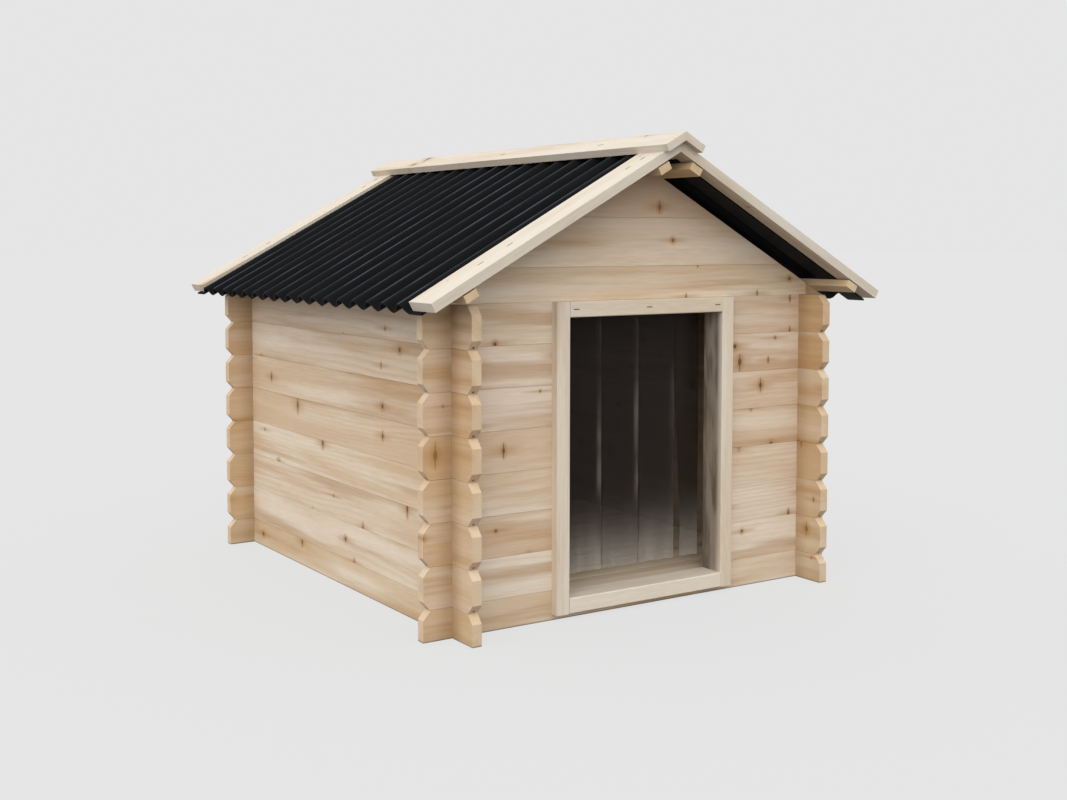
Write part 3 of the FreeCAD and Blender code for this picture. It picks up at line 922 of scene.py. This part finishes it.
@dataclass
class StripCurtain:
    """Clear strips that hang from a header behind the door head."""

    pitch: float
    thickness: float = 0.002
    header_gap: float = 0.0002
    bend_above: float = 0.004
    bend_below: float = 0.030
    cut: float = 0.0012
    parting: tuple[float, float] = (0.25, 0.85)
    columns: int = 24
    rows: int = 60

    def build(self) -> None:
        """Models the strips and gives the header and clamp batten their finish."""
        low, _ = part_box("curtain_strip_1")
        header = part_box("curtain_header")[0].z
        finish = ClearVinylFinish()
        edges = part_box("curtain_strip_2")[1].x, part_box("curtain_strip_4")[1].x
        vinyl = finish.strip_material(header - low.z, edges)
        dress(["curtain_header"], finish.header_material())
        single = BoardCell((0.0, 0.0, 0.0))
        dress(["curtain_clamp_batten"],
              PLANED_PINE.material("clamp", Grain.UPRIGHT_FACE_ALONG_X, single, self.pitch))
        for joint in frame["joints"]:
            node = joint["child"].replace("strip_", "curtain_strip_")
            self._strip(node, header - self.header_gap, vinyl)

    def _strip(self, node: str, top: float, vinyl: bpy.types.Material) -> None:
        """Models one strip in the place of its plain solid.

        Args:
            node: The CAD node that it stands for.
            top: The height of its upper edge.
            vinyl: Its finish.
        """
        low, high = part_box(node)
        width, length = high.x - low.x, top - low.z
        front = low.y + self.thickness / 2
        bow = high.y - low.y - self.thickness
        middle = Vector(((low.x + high.x) / 2, front, (top + low.z) / 2))
        bpy.ops.object.select_all(action="DESELECT")
        bpy.ops.mesh.primitive_grid_add(x_subdivisions=self.columns, y_subdivisions=self.rows, size=1.0)
        piece = bpy.context.object
        piece.name = node + "_clear"
        bpy.ops.object.mode_set(mode="EDIT")
        bpy.ops.mesh.select_all(action="SELECT")
        bpy.ops.transform.resize(value=(width, length, 1.0))
        bpy.ops.object.mode_set(mode="OBJECT")
        piece.data.transform(Matrix.Translation(middle) @ Matrix.Rotation(math.pi / 2, 4, "X"))
        reach = self._reach(low.x)
        closed, parted = self.parting
        for vertex in piece.data.vertices:
            share = (vertex.co.x - low.x) / width
            drop = (top - vertex.co.z) / length
            vertex.co.y += 4 * bow * share * (1 - share) * drop
            still_closed = min(1.0, max(0.0, (parted - drop) / (parted - closed)))
            vertex.co.x -= reach * (1 - share) * still_closed
        self._finish(piece)
        piece.data.materials.append(vinyl)
        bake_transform(piece)
        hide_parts(node)
        LOG.info("%s hangs in the place of %s", piece.name, node)

    def _reach(self, edge: float) -> float:
        """Gives how much wider a strip is at its top, where the cut to the strip on its left is closed.

        Args:
            edge: Where the strip's left edge hangs.

        Returns:
            The width, or 0 for the strip with none on its left.
        """
        others = [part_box(node)[1].x for node in nodes_like("curtain_strip")]
        gaps = [edge - other - self.cut for other in others if other < edge]
        return max(0.0, min(gaps, default=0.0))

    def _finish(self, piece: bpy.types.Object) -> None:
        """Gives a strip its thickness and smooth faces."""
        solidify = piece.modifiers.new("thickness", "SOLIDIFY")
        solidify.thickness = self.thickness
        solidify.offset = 0.0
        bpy.ops.object.modifier_apply(modifier=solidify.name)
        bpy.ops.object.mode_set(mode="EDIT")
        bpy.ops.mesh.select_all(action="SELECT")
        bpy.ops.mesh.normals_make_consistent(inside=False)
        bpy.ops.object.mode_set(mode="OBJECT")
        bpy.ops.object.shade_smooth_by_angle(angle=SMOOTH_ANGLE)


@dataclass
class Staples:
    """Wire staples that hold the trim, driven nearly flush."""

    pitch: float
    crown: float = 0.014
    wire: float = 0.0021
    proud: float = 0.0004
    rounding: float = 0.0005
    head_inset: float = 0.014
    ridge_spacing: float = 0.37
    verge_places: tuple[float, ...] = (-0.24, -0.20, 0.10, 0.17)
    skew: float = 0.5

    def build(self) -> None:
        """Models one staple and copies it to each place."""
        pattern = self._pattern()
        steel = STAPLE_WIRE.material()
        for number, place in enumerate(self._places(), 1):
            piece = pattern.copy()
            piece.data = pattern.data.copy()
            piece.name = "staple_%d" % number
            bpy.context.scene.collection.objects.link(piece)
            piece.data.transform(place)
            piece.data.materials.append(steel)
            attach(piece, "house")
            LOG.info("%s is driven", piece.name)
        bpy.data.objects.remove(pattern)

    def _pattern(self) -> bpy.types.Object:
        """Models a staple's crown, lying along X and sunk to its proud height."""
        bpy.ops.object.select_all(action="DESELECT")
        bpy.ops.mesh.primitive_cube_add(size=1.0)
        pattern = bpy.context.object
        bpy.ops.object.mode_set(mode="EDIT")
        bpy.ops.mesh.select_all(action="SELECT")
        bpy.ops.transform.resize(value=(self.crown, self.wire, self.wire))
        bpy.ops.transform.translate(value=(0.0, 0.0, self.proud - self.wire / 2))
        bpy.ops.mesh.bevel(offset=self.rounding, segments=3, affect="EDGES")
        bpy.ops.mesh.normals_make_consistent(inside=False)
        bpy.ops.object.mode_set(mode="OBJECT")
        bpy.ops.object.shade_smooth_by_angle(angle=SMOOTH_ANGLE)
        return pattern

    def _places(self) -> Iterable[Matrix]:
        """Gives a place for each staple: on the door head, the ridge planks and the verge boards."""
        front, across = Vector((0.0, -1.0, 0.0)), Vector((1.0, 0.0, 0.0))
        low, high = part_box("door_head")
        head = face_middle("door_head", front)
        reach = (high.x - low.x) / 2 - self.head_inset
        for shift in (-reach, 0.0, reach):
            yield self._on(head + shift * across, front, across)
        for name, side in (("left", -1), ("right", 1)):
            normal = Vector((side * math.sin(self.pitch), 0.0, math.cos(self.pitch)))
            down = Vector((side * math.cos(self.pitch), 0.0, -math.sin(self.pitch)))
            ridge = face_middle(name + "_ridge_plank", normal)
            slanted = Matrix.Rotation(self.skew, 3, normal) @ Vector((0.0, 1.0, 0.0))
            for step in (-1, 0, 1):
                yield self._on(ridge + Vector((0.0, step * self.ridge_spacing, 0.0)), normal, slanted)
            for end in ("front", "rear"):
                verge = face_middle("%s_%s_verge_board" % (end, name), normal)
                for shift in self.verge_places:
                    yield self._on(verge + shift * down, normal, down)

    @staticmethod
    def _on(point: Vector, normal: Vector, along: Vector) -> Matrix:
        """Gives the move that lays a staple on a face.

        Args:
            point: Where its middle goes.
            normal: The way that the face points.
            along: The way that its crown runs.

        Returns:
            The move, as a matrix.
        """
        turn = Matrix((along, normal.cross(along), normal)).transposed().to_4x4()
        return Matrix.Translation(point) @ turn


@dataclass
class Studio:
    """Pale floor, soft light and the camera."""

    backdrop: str = "E5E5E5"
    floor_colour: str = "CBCBCB"
    floor_bounce: str = "6C6A67"
    floor_size: float = 120.0
    floor_drop: float = 0.0005
    floor_roughness: float = 0.9
    floor_glow: float = 0.88
    sky: float = 1.15
    sun_strength: float = 1.42
    sun_softness: float = 70.0
    sun_from: tuple[float, float, float] = (-0.65, -0.54, 0.53)
    camera_place: tuple[float, float, float] = (-1.6708, -2.5959, 0.729)
    camera_yaw: float = 0.5665
    camera_tilt: float = -0.0596
    focal_pixels: float = 1357.8
    aim_pixel: tuple[float, float] = (504.4, 320.1)

    def build(self) -> None:
        """Sets up everything round the house."""
        self._floor()
        self._world()
        self._sun()
        self._camera()
        bpy.context.scene.view_settings.view_transform = "Standard"

    @staticmethod
    def _seen(graph: Graph) -> bpy.types.NodeSocket:
        """Gives 1 for rays that show the backdrop: straight, mirrored or passed through."""
        ray = graph.add("LightPath").outputs
        seen = graph.math("MAXIMUM", ray["Is Camera Ray"], ray["Is Glossy Ray"])
        return graph.math("MAXIMUM", seen, ray["Is Transmission Ray"])

    def _floor(self) -> None:
        """Lays a wide plain floor that keeps a faint shadow and throws little light back up."""
        bpy.ops.object.select_all(action="DESELECT")
        bpy.ops.mesh.primitive_plane_add(size=self.floor_size, location=(0.0, 0.0, -self.floor_drop))
        floor = bpy.context.object
        floor.name = "studio_floor"
        material, graph, shader = new_material("studio_floor")
        tone = graph.mix(self._seen(graph), paint(self.floor_bounce), paint(self.floor_colour))
        graph.feed(shader.inputs["Base Color"], tone)
        shader.inputs["Roughness"].default_value = self.floor_roughness
        shader.inputs["Specular IOR Level"].default_value = 0.0
        glow = graph.add("Emission", {"Color": paint(self.backdrop), "Strength": 1.0})
        share = graph.product(self._seen(graph), self.floor_glow)
        both = graph.add("MixShader", {0: share, 1: shader.outputs[0], 2: glow.outputs[0]})
        graph.feed(material.node_tree.nodes["Material Output"].inputs["Surface"], both.outputs[0])
        floor.data.materials.append(material)

    def _world(self) -> None:
        """Surrounds the house with even light, and with the backdrop's colour where it is seen."""
        world = bpy.data.worlds.new("studio")
        bpy.context.scene.world = world
        world.use_nodes = True
        graph = Graph(world.node_tree)
        light = graph.add("Background", {"Color": (1.0, 1.0, 1.0, 1.0), "Strength": self.sky})
        shown = graph.add("Background", {"Color": paint(self.backdrop), "Strength": 1.0})
        both = graph.add("MixShader", {0: self._seen(graph), 1: light.outputs[0], 2: shown.outputs[0]})
        graph.feed(world.node_tree.nodes["World Output"].inputs["Surface"], both.outputs[0])

    def _sun(self) -> None:
        """Adds one broad soft light from the front left."""
        lamp = bpy.data.lights.new("soft_box", "SUN")
        lamp.energy = self.sun_strength
        lamp.angle = math.radians(self.sun_softness)
        sun = bpy.data.objects.new("soft_box", lamp)
        sun.rotation_euler = Vector(self.sun_from).to_track_quat("Z", "Y").to_euler()
        bpy.context.scene.collection.objects.link(sun)

    def _camera(self) -> None:
        """Stands the camera where the photograph was taken."""
        data = bpy.data.cameras.new("camera")
        data.sensor_width = 36.0
        data.lens = self.focal_pixels / IMAGE_WIDTH * data.sensor_width
        data.shift_x = (IMAGE_WIDTH / 2 - self.aim_pixel[0]) / IMAGE_WIDTH
        data.shift_y = (self.aim_pixel[1] - IMAGE_HEIGHT / 2) / IMAGE_WIDTH
        camera = bpy.data.objects.new("camera", data)
        camera.location = self.camera_place
        camera.rotation_euler = (math.pi / 2 + self.camera_tilt, 0.0, -self.camera_yaw)
        bpy.context.scene.collection.objects.link(camera)
        bpy.context.scene.camera = camera


def main() -> None:
    """Builds and dresses the house."""
    logging.basicConfig(level=logging.INFO)
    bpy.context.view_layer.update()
    pitch = roof_pitch()
    LogWalls(pitch).dress()
    Roof(pitch).dress()
    DoorFrame(pitch).dress()
    CabinFloor(pitch).dress()
    StripCurtain(pitch).build()
    Staples(pitch).build()
    Studio().build()


if __name__ == "__main__":
    main()
